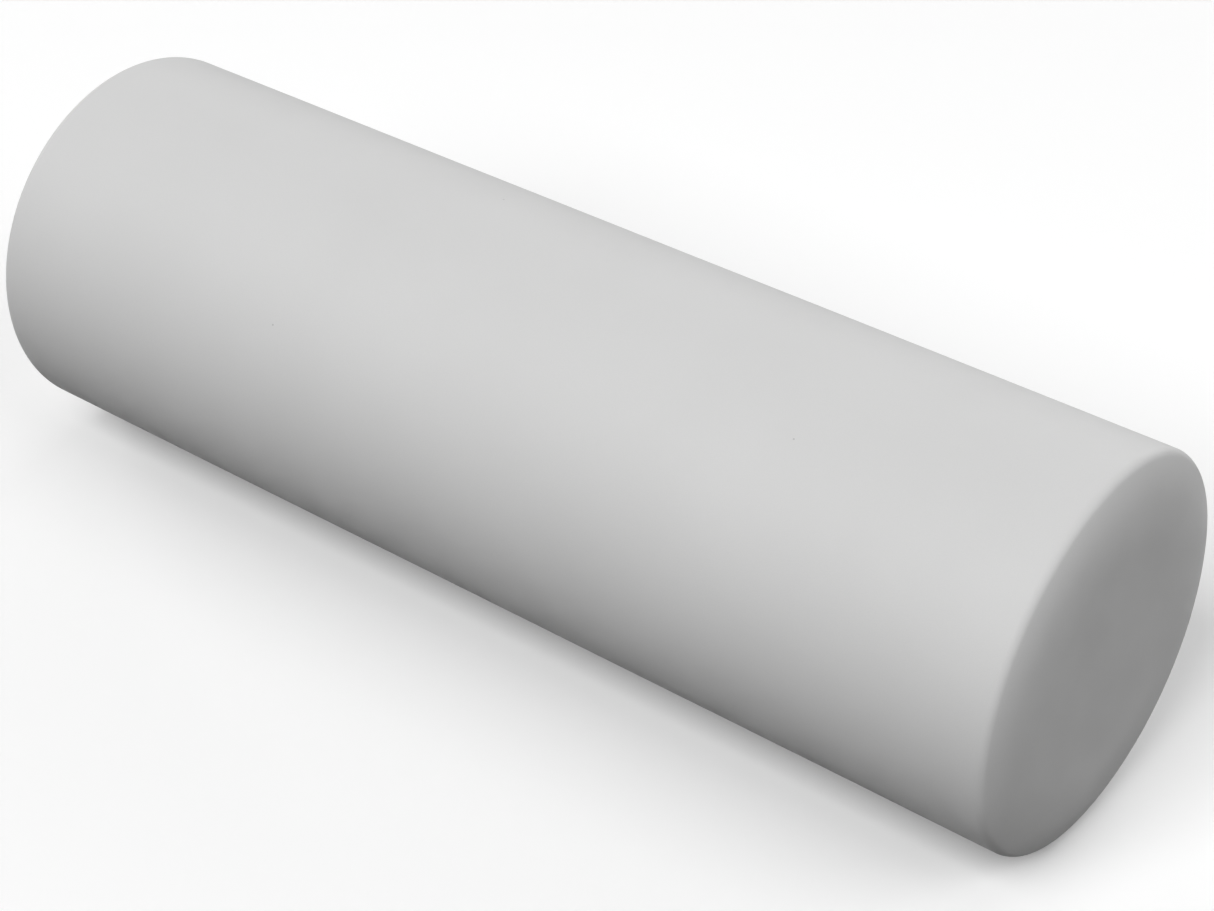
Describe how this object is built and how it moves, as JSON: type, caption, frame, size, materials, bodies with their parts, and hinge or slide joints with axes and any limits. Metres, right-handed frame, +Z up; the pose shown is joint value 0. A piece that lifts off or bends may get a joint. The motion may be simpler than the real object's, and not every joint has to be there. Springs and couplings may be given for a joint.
{
  "type": "foam roller",
  "caption": "Seamless coated foam roller for massage and therapy, with a rigid tube core, thick foam, crowned closed ends and a small hidden vent.",
  "frame": {"origin": "on the floor, midway along the roller, below its axis", "axes": "+X along the roller, towards the plain end; +Z up"},
  "size_m": [0.457, 0.145, 0.145],
  "materials": {
    "coating": "smooth matte flexible coating",
    "sleeve_foam": "soft fine-celled foam",
    "pad_foam": "soft fine-celled foam",
    "pipe": "extruded rigid plastic",
    "plug_plastic": "moulded",
    "vent_plastic": "moulded"
  },
  "bodies": {
    "root": {"skin": "coating", "foam_sleeve": "sleeve_foam", "plain_end_pad": "pad_foam", "vent_end_pad": "pad_foam", "core_tube": "pipe", "plain_end_plug": "plug_plastic", "vent_end_plug": "plug_plastic", "vent_bushing": "vent_plastic"}
  },
  "joints": []
}
